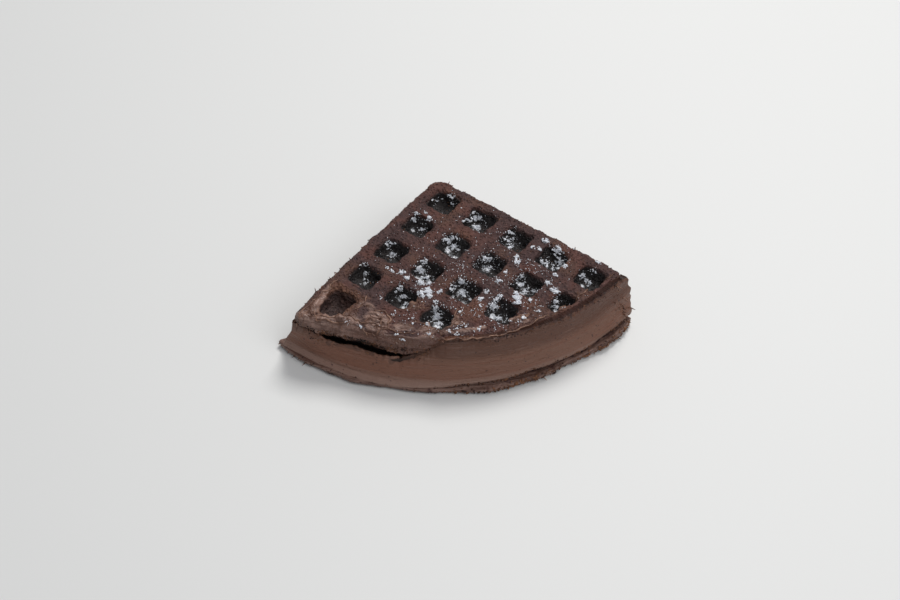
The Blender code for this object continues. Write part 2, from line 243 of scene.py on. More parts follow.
def ramp(tree, value, low, high, outLow=0, outHigh=1):
    inputs = {"Value": value, "From Min": low, "From Max": high, "To Min": outLow, "To Max": outHigh}
    return addNode(tree, "ShaderNodeMapRange", inputs, interpolation_type="SMOOTHSTEP").outputs["Result"]


def mixed(tree, share, first, second):
    return addNode(tree, "ShaderNodeMix", {0: share, 6: first, 7: second}, data_type="RGBA").outputs[2]


def noisy(tree, vector, scale, detail, roughness, distortion=0):
    inputs = {
        "Vector": vector, "Scale": scale, "Detail": detail, "Roughness": roughness, "Distortion": distortion,
    }
    return addNode(tree, "ShaderNodeTexNoise", inputs).outputs["Fac"]


def attribute(tree, name, output="Fac"):
    return addNode(tree, "ShaderNodeAttribute", attribute_name=name).outputs[output]


def objectPlace(tree):
    return addNode(tree, "ShaderNodeTexCoord").outputs["Object"]


def newGroup(name, inputs, outputs):
    tree = bpy.data.node_groups.new(name, "ShaderNodeTree")
    for label, kind, value in inputs:
        socket = tree.interface.new_socket(label, in_out="INPUT", socket_type="NodeSocket" + kind)
        if value is not None:
            socket.default_value = value
    for label in outputs:
        tree.interface.new_socket(label, in_out="OUTPUT", socket_type="NodeSocketFloat")
    return tree, addNode(tree, "NodeGroupInput").outputs, addNode(tree, "NodeGroupOutput")


def useGroup(tree, group, **values):
    return addNode(tree, "ShaderNodeGroup", values, node_tree=group).outputs


def newMaterial(name, roughness, specular=0.5):
    material = bpy.data.materials.new(name)
    material.use_nodes = True
    tree = material.node_tree
    shader = tree.nodes["Principled BSDF"]
    feed(tree, shader, {"Roughness": roughness, "Specular IOR Level": specular})
    return material, tree, shader


def finished(material, colour, height, strength, distance):
    tree = material.node_tree
    relief = addNode(tree, "ShaderNodeBump", {"Strength": strength, "Distance": distance, "Height": height})
    feed(tree, tree.nodes["Principled BSDF"], {"Base Color": colour, "Normal": relief.outputs[0]})
    return material


def plainMaterial(name, colour, roughness):
    material, tree, shader = newMaterial(name, roughness)
    feed(tree, shader, {"Base Color": colour})
    return material


def makeCrumbGroup():
    # baked crumb: broad tone, fine speckle and the height of the pores
    inputs = (("Vector", "Vector", None), ("Size", "Float", 1))
    tree, source, target = newGroup("bakedCrumb", inputs, ("Tone", "Speckle", "Height"))
    scaling = {0: source["Vector"], "Scale": source["Size"]}
    vector = addNode(tree, "ShaderNodeVectorMath", scaling, operation="SCALE").outputs[0]
    pores = addNode(tree, "ShaderNodeTexVoronoi", {"Vector": vector, "Scale": 900}, feature="F1")
    pit = times(tree, ramp(tree, pores.outputs["Distance"], 0.10, 0.55), 0.35)
    feed(tree, target, {
        "Tone": noisy(tree, vector, 75, 4, 0.6, 0.4), "Speckle": noisy(tree, vector, 1300, 2, 0.7),
        "Height": plus(tree, pit, noisy(tree, vector, 520, 4, 0.65)),
    })
    return tree


def makeStreakGroup():
    # spatula streaks: noise drawn out along the arc, read from the flow attribute
    inputs = (("Flow", "Vector", None), ("Seed", "Float", 0), ("Stretch", "Vector", (0.045, 1, 0.3)))
    tree, source, target = newGroup("spatulaStreaks", inputs, ("Broad", "Fine"))
    stretch = addNode(tree, "ShaderNodeMapping", {"Vector": source["Flow"], "Scale": source["Stretch"]})
    shift = {0: stretch.outputs[0], 1: source["Seed"]}
    vector = addNode(tree, "ShaderNodeVectorMath", shift, operation="ADD").outputs[0]
    feed(tree, target, {
        "Broad": noisy(tree, vector, 330, 3, 0.5, 0.6), "Fine": noisy(tree, vector, 1900, 3, 0.6, 0.3),
    })
    return tree


crumbGroup = makeCrumbGroup()
streakGroup = makeStreakGroup()

# the colours, in linear light
tones = {
    "crust": (0.0505, 0.0209, 0.0194, 1), "crustWarm": (0.086, 0.0285, 0.0205, 1),
    "crustDark": (0.018, 0.0080, 0.0084, 1), "crustPale": (0.172, 0.084, 0.068, 1),
    # the near-black tone: darker crust with painted shade, for the pockets and the gaps
    "pocket": (0.009, 0.0055, 0.0055, 1), "torn": (0.135, 0.056, 0.028, 1),
    "cream": (0.178, 0.086, 0.056, 1), "creamDark": (0.094, 0.039, 0.023, 1),
    # the pale cream tone also serves as a painted sheen low on the cream and as painted highlights on streaks
    "creamPaleAndSheen": (0.270, 0.172, 0.138, 1), "creamRed": (0.178, 0.077, 0.048, 1),
    # the smear and wisp tones are partly paler as painted highlights
    "smear": (0.262, 0.158, 0.126, 1), "wispAndHighlight": (0.270, 0.150, 0.103, 1),
    "creamBrown": (0.112, 0.055, 0.040, 1), "creamSide": (0.124, 0.058, 0.043, 1),
    "sugar": (0.87, 0.89, 0.94, 1), "sugarShade": (0.62, 0.65, 0.72, 1),
    "crumb": (0.19, 0.085, 0.042, 1), "floor": (0.70, 0.705, 0.70, 1),
}


def waffleMaterial(name):
    material, tree, shader = newMaterial(name, 0.7)
    place = objectPlace(tree)
    crumb = useGroup(tree, crumbGroup, Vector=place, Size=1)
    pocket = attribute(tree, "pocket")
    colour = mixed(tree, ramp(tree, crumb["Tone"], 0.42, 0.62), tones["crust"], tones["crustWarm"])
    colour = mixed(tree, ramp(tree, crumb["Height"], 0.38, 0.66, 0.85, 0), colour, tones["crustDark"])
    colour = mixed(tree, ramp(tree, crumb["Speckle"], 0.56, 0.72, 0, 0.70), colour, tones["crustPale"])
    tornShare = times(tree, attribute(tree, "torn"), ramp(tree, crumb["Speckle"], 0.30, 0.60, 0.3, 1))
    colour = mixed(tree, tornShare, colour, tones["torn"])
    # near black in the pockets and gaps: darker crust with painted shade
    colour = mixed(tree, pocket, colour, tones["pocket"])
    # cream wiped over the crust, streaked along the rim
    flow = attribute(tree, "flow", "Vector")
    streaks = useGroup(tree, streakGroup, Flow=flow, Seed=3, Stretch=(0.30, 1.8, 0.9))
    broad, fine = streaks["Broad"], streaks["Fine"]
    edge = plus(tree, attribute(tree, "smear"), times(tree, noisy(tree, place, 420, 4, 0.65, 0.8), 0.32))
    smear = ramp(tree, plus(tree, edge, times(tree, broad, 0.32)), 0.60, 0.88)
    # the pale end of the cream tone is partly painted wet highlights; the fine pale streak lines are painted
    # highlights
    creamTone = mixed(tree, ramp(tree, broad, 0.38, 0.60), tones["creamBrown"], tones["smear"])
    creamTone = mixed(tree, ramp(tree, fine, 0.54, 0.72, 0, 0.45), creamTone, tones["creamPaleAndSheen"])
    sideTone = mixed(tree, ramp(tree, broad, 0.34, 0.66), tones["creamDark"], tones["creamSide"])
    creamTone = mixed(tree, attribute(tree, "side"), creamTone, sideTone)
    colour = mixed(tree, smear, colour, creamTone)
    # a film of the finest sugar
    powder = times(tree, noisy(tree, place, 1900, 3, 0.8), 0.55)
    grainy = plus(tree, powder, times(tree, noisy(tree, place, 560, 3, 0.6), 0.45))
    film = ramp(tree, plus(tree, grainy, times(tree, attribute(tree, "dust"), 0.36)), 0.68, 0.82)
    colour = mixed(tree, film, colour, tones["sugar"])
    rough = minus(tree, minus(tree, 0.72, times(tree, smear, 0.36)), times(tree, pocket, 0.16))
    feed(tree, shader, {"Roughness": mathNode(tree, "MAXIMUM", rough, times(tree, film, 0.9))})
    calm = minus(tree, 1, times(tree, smear, 0.85))
    height = times(tree, minus(tree, crumb["Height"], 0.75), calm)
    drawn = plus(tree, times(tree, broad, 0.6), times(tree, fine, 0.3))
    height = plus(tree, height, times(tree, minus(tree, drawn, 0.40), smear))
    return finished(material, colour, plus(tree, height, times(tree, film, 0.3)), 1, 0.0014)


def creamMaterial():
    material, tree, shader = newMaterial("milkChocolateCream", 0.42, 0.38)
    place = objectPlace(tree)
    flow = attribute(tree, "flow", "Vector")
    streaks = useGroup(tree, streakGroup, Flow=flow, Seed=0)
    broad, fine = streaks["Broad"], streaks["Fine"]
    split = addNode(tree, "ShaderNodeSeparateXYZ", {0: flow})
    level = plus(tree, split.outputs["Y"], times(tree, broad, 0.004))
    # paler and greyer low down: a painted sheen
    low = times(tree, ramp(tree, level, 0.0045, 0.0095, 1, 0), 0.9)
    high = times(tree, ramp(tree, level, 0.0135, 0.0180), 0.85)
    colour = mixed(tree, ramp(tree, broad, 0.35, 0.65), tones["cream"], tones["creamRed"])
    colour = mixed(tree, low, colour, tones["creamPaleAndSheen"])
    colour = mixed(tree, high, colour, tones["creamDark"])
    colour = mixed(tree, ramp(tree, fine, 0.55, 0.75, 0, 0.35), colour, tones["creamPaleAndSheen"])
    flecks = ramp(tree, noisy(tree, place, 900, 2, 0.6), 0.66, 0.74)
    colour = mixed(tree, flecks, colour, tones["crustDark"])
    mottling = ramp(tree, noisy(tree, place, 700, 4, 0.7), 0.4, 0.6)
    mottled = mixed(tree, mottling, tones["crustDark"], tones["crust"])
    colour = mixed(tree, attribute(tree, "rim"), colour, mottled)
    # painted shade in the gap under the upper waffle
    colour = mixed(tree, attribute(tree, "shade"), colour, tones["pocket"])
    feed(tree, shader, {"Roughness": ramp(tree, fine, 0.3, 0.7, 0.30, 0.50)})
    pores = times(tree, noisy(tree, place, 1100, 3, 0.6), 0.35)
    return finished(material, colour, plus(tree, fine, pores), 0.8, 0.0006)


def sugarMaterial():
    material, tree, shader = newMaterial("icingSugar", 0.9, 0.3)
    place = objectPlace(tree)
    shade = ramp(tree, noisy(tree, place, 900, 3, 0.6), 0.3, 0.7)
    feed(tree, shader, {
        "Subsurface Weight": 0.15, "Subsurface Radius": (0.001, 0.001, 0.001), "Subsurface Scale": 0.5,
    })
    colour = mixed(tree, shade, tones["sugarShade"], tones["sugar"])
    return finished(material, colour, noisy(tree, place, 3500, 2, 0.6), 0.6, 0.0002)


def crumbMaterial():
    material, tree = newMaterial("looseCrumbs", 0.75, 0.35)[:2]
    crumb = useGroup(tree, crumbGroup, Vector=objectPlace(tree), Size=1.6)
    colour = mixed(tree, ramp(tree, crumb["Tone"], 0.4, 0.6), tones["crustDark"], tones["crumb"])
    return finished(material, colour, crumb["Height"], 0.7, 0.0003)


def wispMaterial():
    material, tree = newMaterial("creamWisps", 0.45, 0.4)[:2]
    place = objectPlace(tree)
    tone = ramp(tree, noisy(tree, place, 260, 3, 0.6), 0.40, 0.62)
    # from dark cream to a pale tone that is partly a painted highlight on the ridges
    colour = mixed(tree, tone, tones["creamDark"], tones["wispAndHighlight"])
    flecks = ramp(tree, noisy(tree, place, 1500, 2, 0.6), 0.5, 0.7, 0, 0.6)
    colour = mixed(tree, flecks, colour, tones["crustDark"])
    return finished(material, colour, noisy(tree, place, 2200, 2, 0.6), 0.7, 0.0003)


# shape helpers

def newObject(name, mesh):
    item = bpy.data.objects.new(name, mesh)
    bpy.context.scene.collection.objects.link(item)
    return item


def evaluatedMesh(item):
    bpy.context.view_layer.update()
    return bpy.data.meshes.new_from_object(item.evaluated_get(bpy.context.evaluated_depsgraph_get()))


def applied(item):
    mesh = evaluatedMesh(item)
    item.modifiers.clear()
    item.data = mesh


def meshFrom(bm, name):
    mesh = bpy.data.meshes.new(name)
    bm.to_mesh(mesh)
    bm.free()
    return mesh


def thicken(bm, height):
    grown = bmesh.ops.extrude_face_region(bm, geom=bm.faces[:], use_keep_orig=True)["geom"]
    upperSide = [item for item in grown if isinstance(item, bmesh.types.BMVert)]
    bmesh.ops.translate(bm, verts=upperSide, vec=(0, 0, height))
    bmesh.ops.recalc_face_normals(bm, faces=bm.faces)


def roundOff(bm, edges, offset, segments):
    bmesh.ops.bevel(
        bm, geom=edges, offset=offset, segments=segments, profile=0.5, affect="EDGES", material=-1,
    )


def applyBoolean(item, operation, tool):
    change = item.modifiers.new("change", "BOOLEAN")
    change.operation = operation
    change.object = tool
    applied(item)


def addSkin(item, voxel):
    skin = item.modifiers.new("skin", "REMESH")
    skin.mode = "VOXEL"
    skin.voxel_size = voxel


slab = {"segments": 288, "cornerSegments": 6, "point": 0.0050, "left": 0.0025, "right": 0.0026}


def quarterSlab(name, radius, low, high, edge, inset=0):
    # a disc cut to a quarter, thickened, its point and corners rounded, then all edges
    bm = bmesh.new()
    bmesh.ops.create_circle(bm, cap_ends=True, radius=radius, segments=slab["segments"])
    for normal in ((1, 0, 0), (0, 1, 0)):
        everything = bm.verts[:] + bm.edges[:] + bm.faces[:]
        cut = Vector(normal) * inset
        bmesh.ops.bisect_plane(bm, geom=everything, plane_co=cut, plane_no=normal, clear_inner=True)
        bmesh.ops.delete(bm, geom=[v for v in bm.verts if not v.link_faces], context="VERTS")
    bmesh.ops.translate(bm, verts=bm.verts, vec=(0, 0, low))
    thicken(bm, high - low)
    for x, y, corner in ((inset, inset, "point"), (radius, inset, "left"), (inset, radius, "right")):
        spot = Vector((x, y, (low + high) / 2))
        upright = [e for e in bm.edges if abs(e.verts[0].co.z - e.verts[1].co.z) > 1e-4]
        nearest = min(upright, key=lambda e: ((e.verts[0].co + e.verts[1].co) / 2 - spot).length)
        roundOff(bm, [nearest], slab[corner], slab["cornerSegments"])
    rims = [e for e in bm.edges if abs(e.verts[0].co.z - e.verts[1].co.z) < 1e-6
            and abs(e.link_faces[0].normal.z - e.link_faces[1].normal.z) > 0.5]
    roundOff(bm, rims, edge, 3)
    return newObject(name, meshFrom(bm, name))


stud = {
    "width": 0.0102, "floor": 0.0078, "mouth": 0.0118, "chamfer": 0.0011, "rounding": 0.0016,
    "depth": 0.0056, "cap": 0.0012, "capGrow": 1.05, "limit": 0.0828, "turn": 0.03, "size": (0.97, 1.03),
}


def studMesh():
    bm = bmesh.new()
    wall = stud["depth"] - stud["chamfer"]
    turned = Matrix.Rotation(pi / 4, 4, "Z") @ Matrix.Translation((0, 0, -stud["chamfer"] - wall / 2))
    bmesh.ops.create_cone(
        bm, cap_ends=True, segments=4, radius1=stud["floor"] * sqrt(0.5),
        radius2=stud["width"] * sqrt(0.5), depth=wall, matrix=turned,
    )
    for rise, width in ((stud["chamfer"], stud["mouth"]), (stud["cap"], stud["mouth"] * stud["capGrow"])):
        top = max(bm.faces, key=lambda face: face.calc_center_median().z)
        grow = width / 2 / max(abs(v.co.x) for v in top.verts)
        grown = bmesh.ops.extrude_discrete_faces(bm, faces=[top])["faces"][0]
        bmesh.ops.scale(bm, verts=grown.verts, vec=(grow, grow, 1))
        bmesh.ops.translate(bm, verts=grown.verts, vec=(0, 0, rise))
    floor = min(v.co.z for v in bm.verts)
    edges = [e for e in bm.edges if abs(e.verts[0].co.z - e.verts[1].co.z) > 1e-6
             or max(v.co.z for v in e.verts) < floor + 1e-6]
    roundOff(bm, edges, stud["rounding"], 3)
    bmesh.ops.recalc_face_normals(bm, faces=bm.faces)
    return meshFrom(bm, "stud")


def pressed(item, rows, surface, flip, voxel):
    # press the pockets, then one even skin of small faces
    tools = bpy.data.collections.new("studs")
    bpy.context.scene.collection.children.link(tools)
    mesh = studMesh()
    limit = meshCylinder(stud["limit"])
    draw = random.Random(5)
    for j, count in enumerate(rows):
        for i in range(count):
            x, y = lattice(i, j)
            one = bpy.data.objects.new("stud", mesh.copy())
            tools.objects.link(one)
            turn = Matrix.Rotation(draw.uniform(-stud["turn"], stud["turn"]), 4, "Z")
            if flip:
                turn = Matrix.Rotation(pi, 4, "X") @ turn
            size = Matrix.Diagonal((draw.uniform(*stud["size"]), draw.uniform(*stud["size"]), 1, 1))
            one.data.transform(Matrix.Translation((x, y, surface)) @ turn @ size)
            if hypot(x + stud["mouth"] / 2, y + stud["mouth"] / 2) > stud["limit"]:
                applyBoolean(one, "INTERSECT", limit)
    cut = item.modifiers.new("pockets", "BOOLEAN")
    cut.operation = "DIFFERENCE"
    cut.operand_type = "COLLECTION"
    cut.collection = tools
    addSkin(item, voxel)
    calm = item.modifiers.new("calm", "SMOOTH")
    calm.factor = 0.5
    calm.iterations = 3
    applied(item)
    for one in list(tools.objects) + [limit]:
        bpy.data.objects.remove(one)
    bpy.data.collections.remove(tools)


def meshCylinder(radius):
    bm = bmesh.new()
    bmesh.ops.create_cone(bm, cap_ends=True, segments=192, radius1=radius, radius2=radius, depth=0.06)
    return newObject("rimLimit", meshFrom(bm, "rimLimit"))


def setFloats(mesh, **shares):
    for name, values in shares.items():
        layer = mesh.attributes.new(name, "FLOAT", "POINT")
        layer.data.foreach_set("value", values)


def setFlow(mesh, values):
    # how far round the rim, and how far up or in
    layer = mesh.attributes.new("flow", "FLOAT_VECTOR", "POINT")
    layer.data.foreach_set("vector", values)


def seatAll(item):
    # from the flat frame to its place in the shared frame
    for vertex in item.data.vertices:
        vertex.co = settled(vertex.co)
    item.data.update()


def dress(item, material, nodes):
    item.data.materials.clear()
    item.data.materials.append(material)
    item.data.shade_smooth()
    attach(item, "root")
    if nodes:
        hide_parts(*nodes)
    print(item.name, len(item.data.polygons), "faces")


# sugar: piles by place in the lattice, spread in millimetres, number of grains
sugarPiles = (
    (0.02, -0.24, 1.7, 60), (-0.14, 0.06, 2, 30), (0.22, -0.06, 1.6, 30),
    (0.92, -0.05, 2, 170), (1.06, 0.22, 1.7, 110), (0.82, 0.16, 1.9, 70),
    (1.90, 0.12, 2.3, 150), (2.06, 0.28, 1.8, 60), (1.84, -0.10, 1.8, 60),
    (2.98, -0.26, 2, 160), (3.26, -0.02, 1.8, 150), (2.95, 0.18, 2, 90), (3.20, 0.20, 1.6, 70),
    (3.86, 0.04, 1.2, 110), (4.08, 0.12, 1.3, 150), (3.95, -0.22, 1.6, 30),
    (-0.18, 0.92, 1.3, 90), (0.06, 0.68, 1.4, 80), (-0.24, 0.74, 1.6, 60), (0.12, 1.06, 2.2, 70),
    (0.82, 1.00, 2, 200), (1.06, 1.08, 2, 180), (0.90, 0.80, 1.7, 80),
    (1.86, 0.92, 2.3, 170), (2.04, 1.14, 1.7, 70),
    (2.93, 1.10, 1.6, 200), (3.14, 1.22, 2, 60), (2.80, 0.92, 1.6, 60),
    (3.66, 0.82, 1.4, 140), (3.82, 1.06, 1.6, 190), (3.92, 1.20, 1.3, 60),
    (-0.14, 1.86, 2, 110), (0.10, 2.12, 1.8, 80),
    (0.84, 2.10, 2.1, 230), (0.78, 1.86, 1.6, 90), (1.14, 2.22, 2, 110),
    (1.82, 1.84, 1.9, 200), (2.04, 2.10, 2.1, 140), (1.76, 2.10, 1.5, 70),
    (2.80, 2.02, 2, 200), (3.12, 2.24, 1.6, 140), (2.72, 1.80, 1.4, 80),
    (-0.04, 2.96, 1, 70), (-0.20, 2.74, 1.4, 25), (0.14, 3.16, 2.2, 40),
    (1.07, 3.00, 1.5, 150), (0.86, 2.86, 1.6, 90), (1.24, 3.16, 1.5, 50),
    (2.00, 3.00, 2, 300), (2.16, 3.16, 1.6, 110), (1.84, 2.84, 1.3, 90),
    (2.60, -0.36, 1.1, 110), (2.46, 0.59, 1.3, 200), (2.36, 0.46, 1, 60), (3.08, 1.50, 1.7, 300),
    (3.51, 1.88, 0.8, 80), (1.39, 2.50, 1.6, 240), (1.14, 2.42, 1.4, 160), (0.79, 2.50, 1, 90),
    (1.50, 2.62, 1.3, 120), (0.60, 2.44, 1, 70), (0.44, 2.52, 0.8, 30), (1.26, 2.30, 1, 90),
    (1.34, 2.70, 1.2, 100), (3.16, 1.62, 1.2, 120), (2.98, 1.40, 1, 90),
    (2.95, 2.75, 2.2, 24), (2.55, 3.10, 2.2, 24), (1.60, 3.40, 2, 16), (2.35, 2.62, 1.5, 30),
    (3.50, 2.10, 1.8, 20),
    (2.64, -0.06, 0.8, 50), (2.48, -0.02, 0.7, 40), (2.94, -0.36, 0.9, 50), (3.38, 0.04, 1, 70),
    (3.36, 0.71, 1.1, 90), (2.45, 1.33, 0.8, 60), (2.45, 1.76, 0.9, 70), (2.45, 2.02, 0.9, 70),
    (3.90, -0.52, 0.9, 40), (3.19, -0.57, 0.8, 25), (1.72, 2.70, 0.7, 50), (0.29, 2.50, 0.7, 30),
    (3.27, 1.09, 1, 60), (3.66, 1.55, 0.9, 30), (1.63, 2.39, 0.9, 60), (3.35, 0.41, 0.8, 40),
    (-0.10, 0.58, 0.6, 20), (2.42, 1.01, 0.7, 30), (2.31, 2.17, 0.7, 40), (2.57, 2.19, 0.6, 30),
    (0.88, 4.28, 1.3, 14), (1.61, 3.99, 0.9, 12), (1.83, 4.02, 1.2, 16), (2.20, 3.54, 1.8, 16),
    (0.69, 3.32, 1.3, 16),
    (0.52, 4.33, 0.9, 6), (2.68, 3.20, 1.6, 12), (2.59, 3.00, 3, 26), (1.20, 3.60, 3, 20),
    (3.30, 2.20, 2.6, 22), (2.00, 3.30, 3, 26),
    (2.75, 1.68, 0.8, 40), (3.15, -0.10, 0.8, 30), (3.55, 0.83, 0.8, 40), (3.34, 1.38, 0.8, 50),
)
sprinkle = {"batches": 24, "batch": 100, "middle": (2.25, 1.55), "reach": 1.15, "size": (0.00008, 0.00025)}
sugar = {
    "seed": 21, "lowest": 0.012, "perClump": 45, "perLump": 6, "lumpSize": (0.00022, 0.00044),
    "lumpSway": 0.34, "lumpLift": 0.0003, "fine": 2.3, "fineSize": (0.00008, 0.00024), "heap": 0.00025,
}

# cream smeared on top: place in the lattice, reach along and across the rim in millimetres,
# turn in degrees and height in millimetres
smears = (
    (1.05, 3.95, 6, 4.6, 20, 1), (0.30, 4.32, 9.5, 2.8, -20, 0.9), (-0.34, 4.55, 4, 3, 60, 0.8),
    (1.37, 3.06, 3.4, 1.6, 10, 0.5), (2.10, 3.42, 6.5, 2, -38, 0.4), (2.38, 2.86, 3.6, 1.7, 62, 0.5),
    (3.40, 2.05, 3.2, 1.4, -55, 0.5), (1.62, 3.70, 5, 2.4, -30, 0.4), (0.66, 3.70, 3.2, 2.2, 30, 0.4),
    (2.75, 2.95, 5, 1.5, -48, 0.3), (-0.42, 3.95, 3.4, 1.4, 90, 0.3),
    (0.70, 4.46, 6, 1.8, -14, 0.7), (1.60, 4.05, 6, 1.8, -24, 0.6), (2.20, 3.62, 5, 1.4, -34, 0.5),
    (0.45, 3.75, 2.6, 1.4, 80, 0.5), (-0.30, 4.20, 3.4, 2.2, 70, 0.6),
    (2.45, 3.28, 3.2, 1.1, -42, 0.5), (2.95, 2.70, 2.6, 0.9, -50, 0.4), (1.95, 3.34, 2.2, 1.3, 20, 0.4),
    (3.62, 1.96, 3, 0.9, -64, 0.5), (4.02, 1.14, 2.4, 0.8, -74, 0.4),
)


def smearShare(x, y):
    best = 0
    for i, j, along, across, turn, height in smears:
        cx, cy = lattice(i, j)
        c = cos(radians(turn))
        s = sin(radians(turn))
        dx = (x - cx) * 1000
        dy = (y - cy) * 1000
        a = (dx * s + dy * c) / along
        b = (dx * c - dy * s) / across
        best = max(best, exp(-(a * a + b * b)) * (0.6 + 0.4 * height))
    return best


def dustShare(x, y):
    total = 0
    for i, j, spread, grains in sugarPiles:
        cx, cy = lattice(i, j)
        reach = spread * 0.00085
        d = ((x - cx) ** 2 + (y - cy) ** 2) / (reach * reach)
        if d < 9:
            total += min(grains / (spread * spread * 40), 1.1) * exp(-d)
    mx, my = lattice(*sprinkle["middle"])
    wide = (sprinkle["reach"] * wedge["pitch"]) ** 2
    return min(total, 1.15) + 0.14 * exp(-((x - mx) ** 2 + (y - my) ** 2) / wide)


# millimetres by degrees: how far up the painted shade of the gap reaches on the upper waffle's side
gapEdge = ((6, 14.6), (10, 15.7), (15, 16.6), (20, 16.9), (23, 16), (26, 15), (32, 14.2))
dimple = {"place": (1.25, 3.99), "reach": 0.0010, "depth": 0.0016}
upper = {
    "voxel": 0.00046, "coarse": 0.00032, "middle": 0.00024, "fine": 0.00020, "shift": 0.00055,
    "bulge": 0.0023, "bulgeAt": 0.0172, "bulgeWidth": 0.0032, "undercut": 0.0009, "drape": 0.0009,
    "edge": 0.0016, "inside": 0.0835, "fromSides": 0.0035,
}


def makeUpperWaffle():
    item = quarterSlab("upperWaffle", wedge["radius"], wedge["upperLow"], wedge["upperTop"], upper["edge"])
    pressed(item, (5, 5, 4, 3, 1), wedge["upperTop"], False, upper["voxel"])
    mesh = item.data
    pocket, torn, smear, dust, side, flow = [], [], [], [], [], []
    places = []
    normals = [vertex.normal.copy() for vertex in mesh.vertices]
    tornX, tornY = lattice(0, 4)
    dimpleX, dimpleY = lattice(*dimple["place"])
    for vertex, normal in zip(mesh.vertices, normals):
        p = vertex.co.copy()
        radius = hypot(p.x, p.y)
        degrees = toDegrees(atan2(p.y, p.x))
        onSide = ease(radius, 0.0832, 0.0842) * fade(normal.z, 0.5, 0.9)
        inside = radius < upper["inside"] and min(p.x, p.y) > upper["fromSides"]
        depth = wedge["upperTop"] - p.z + 0.0005 * wobble(p, 520, 12)
        free = ease(p.z, wedge["upperLow"] + 0.0002, wedge["upperLow"] + 0.0014)
        well = ease(depth, 0.0006, 0.0019) if inside else 0
        away = max(abs(p.x - tornX), abs(p.y - tornY)) * 1000 + 1.5 * wobble(p, 300, 13)
        broken = fade(away, 6.2, 9)
        left = fade(degrees, 27, 43)
        # painted shade: a dark band low on the side, in the gap above the cream
        crevice = 0
        outer = ease(radius, 0.0815, 0.0825) * fade(normal.z, 0.5, 0.9)
        if outer > 0:
            edge = fromTable(gapEdge, degrees) * 0.001
            edge += 0.0010 * wobble(p, 330, 14) + 0.0007 * wobble(p, 900, 15)
            crevice = fade(p.z, edge - 0.0003, edge + 0.0002)
            crevice *= outer * ease(degrees, 5, 9) * fade(degrees, 28, 32)
        dent = bump(hypot(p.x - dimpleX, p.y - dimpleY), 0, dimple["reach"])
        # darker deep in the pockets (darker crust and painted shade), the painted shade of the gap above the
        # cream, and the dimple's hole painted dark as shade
        pocket.append(max(well * (1 - 0.5 * broken), 0.92 * crevice, 0.8 * dent * (normal.z > 0.3)))
        warm = 0.42 * ease(wobble(p, 115, 22), 0.08, 0.5) * (1 - well)
        torn.append(max(broken * (0.85 if normal.z > 0.3 or well > 0.5 else 0.5) * (1 - 0.75 * well), warm))
        cover = smearShare(p.x, p.y) * (1 - well)
        if onSide > 0:
            streak = 0.75 + 0.9 * ripple(degrees * 0.22, p.z * 900, 6)
            streak += 0.5 * ease(degrees, 22, 30)
            cover = max(cover, onSide * (1 - crevice) * min(max(streak, 0), 1))
        smear.append(cover)
        side.append(onSide * ease(degrees + 6 * wobble(p, 200, 21), 8, 22))
        flow.extend((radians(degrees) * wedge["arc"], radius - p.z, 0))
        level = ease(normal.z, 0.25, 0.8) if radius < 0.0845 else 0
        dust.append(dustShare(p.x, p.y) * level)
        rough = 1 - 0.65 * cover
        lift = upper["coarse"] * wobble(p, 170, 1) + upper["middle"] * wobble(p, 520, 2) * rough
        lift += upper["fine"] * wobble(p, 1250, 3) * rough
        lift -= 0.00045 * ease(wobble(p, 800, 16), 0.22, 0.55) * rough
        lift += 0.0011 * broken * (wobble(p, 420, 4) + 0.5 * wobble(p, 900, 17)) * (1 - 0.6 * well)
        fold = abs(ripple(degrees * 0.30, (radius - p.z) * 480, 5))
        fold += 0.5 * abs(ripple(degrees * 0.7, (radius - p.z) * 1100, 19))
        lift += (0.0002 + 0.0013 * fold) * ease(cover, 0.2, 0.8) * (1 - onSide) - dimple["depth"] * dent
        p += normal * lift * free
        shift = upper["shift"] * free * (1 - onSide)
        p.x += shift * wobble(p, 270, 11)
        p.y += shift * wobble(p, 270, 18)
        if onSide > 0 and left > 0:
            streak = 0.0008 * ripple(degrees * 0.25, p.z * 750, 8)
            out = left * (upper["bulge"] * bump(p.z, upper["bulgeAt"], upper["bulgeWidth"]) + streak * onSide)
            out += upper["drape"] * left * onSide * fade(p.z, 0.0145, 0.0162)
            out -= upper["undercut"] * crevice
            p.z -= upper["drape"] * left * onSide * fade(p.z, 0.0143, 0.0175)
            p.x += out * cos(radians(degrees))
            p.y += out * sin(radians(degrees))
        places.append(p)
    for vertex, p in zip(mesh.vertices, places):
        vertex.co = p
    setFloats(mesh, pocket=pocket, torn=torn, smear=smear, dust=dust, side=side)
    setFlow(mesh, flow)
    seatAll(item)
    dress(item, waffleMaterial("upperCrust"), ("waffle_top",))
    return item


lower = {
    "voxel": 0.00060, "edge": 0.0014, "coarse": 0.00028, "fine": 0.00014,
    "lipRadius": 0.0931, "lipLow": 0.0007, "lipSteps": 140, "lipFrom": 1.5, "lipSweep": 88.5,
    "ragged": 0.0005,
    "raisedFrom": 0.0919, "raisedTo": 0.0925, "raisedAngle": radians(48),
}
ear = ((0.0790, 0.0015), (0.0832, -0.0036), (0.0880, -0.0062), (0.0917, -0.0078), (0.0930, -0.0034))


def lipRadius(angle):
    waves = sin(angle * 9) + 0.6 * sin(angle * 23 + 1)
    notch = bump(angle, radians(66), 0.05)
    return lower["lipRadius"] + 0.0006 * waves - 0.0011 * notch - 0.0016 * ease(angle, 1.48, pi / 2)


